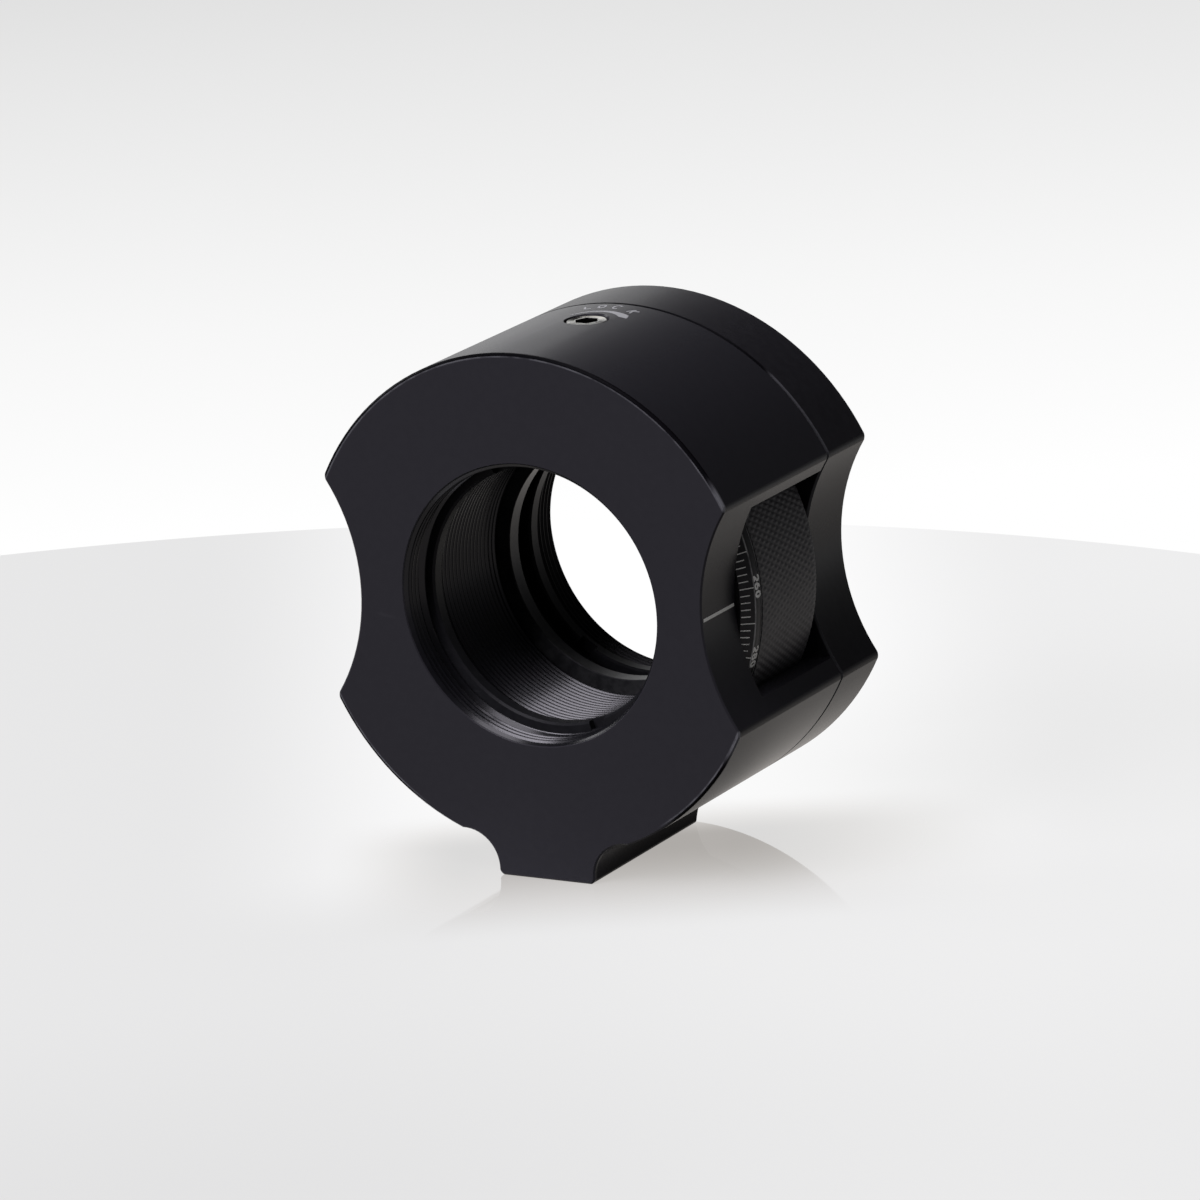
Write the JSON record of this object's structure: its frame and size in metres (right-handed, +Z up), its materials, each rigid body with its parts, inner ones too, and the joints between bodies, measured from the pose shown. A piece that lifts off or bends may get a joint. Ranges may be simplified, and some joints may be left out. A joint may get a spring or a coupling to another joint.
{
  "type": "rotating lens mount",
  "caption": "Barrel mount with finger scallops and a small post foot; a knurled, graduated dial ring turns inside it and holds a lens in an internally threaded cell.",
  "frame": {"origin": "mouth of the tapped post hole, in the middle of the foot's flat bottom", "axes": "+Z up from the foot, +Y along the optical axis from the front face into the barrel, +X to the right seen from the front"},
  "size_m": [0.0418, 0.0269, 0.0492],
  "materials": {
    "housing_anodised": "satin black anodised",
    "cover_anodised": "satin black anodised",
    "dial_anodised": "satin black anodised, turned and knurled, with white engraving",
    "ring_anodised": "satin black anodised",
    "glide_plastic": "black acetal",
    "spring_steel": "rolled spring steel",
    "lock_steel": "turned stainless steel",
    "pad_plastic": "natural nylon",
    "screw_steel": "black oxide"
  },
  "bodies": {
    "housing": {"front_housing": "housing_anodised", "rear_cover": "cover_anodised", "front_glide_ring": "glide_plastic", "rear_glide_ring": "glide_plastic", "wave_spring": "spring_steel", "cover_screw_1": "screw_steel", "cover_screw_2": "screw_steel", "cover_screw_3": "screw_steel", "cover_screw_4": "screw_steel"},
    "dial": {"dial_ring": "dial_anodised"},
    "front_ring": {"front_retaining_ring": "ring_anodised"},
    "rear_ring": {"rear_retaining_ring": "ring_anodised"},
    "pad": {"lock_pad": "pad_plastic"},
    "screw": {"lock_screw": "lock_steel"}
  },
  "joints": [
    {"name": "dial_turn", "type": "hinge", "parent": "housing", "child": "dial", "pos_m": [0, 0, 0.0258], "axis": [0, 1, 0], "continuous": true},
    {"name": "front_ring_travel", "type": "slide", "parent": "dial", "child": "front_ring", "axis": [0, 1, 0], "range_m": [-0.0005, 0.0112]},
    {"name": "rear_ring_travel", "type": "slide", "parent": "housing", "child": "rear_ring", "axis": [0, 1, 0], "range_m": [-0.0002, 0.004]},
    {"name": "lock_travel", "type": "slide", "parent": "housing", "child": "pad", "axis": [0, 0, 1], "range_m": [-0.00023, 0.0021]},
    {"name": "lock_turn", "type": "hinge", "parent": "pad", "child": "screw", "pos_m": [0, 0.0037, 0.0472], "axis": [0, 0, 1], "range_deg": [-119, 1081]}
  ],
  "couplings": [
    {"joint": "lock_turn", "follows": "lock_travel", "rad_per_m": 8976}
  ]
}
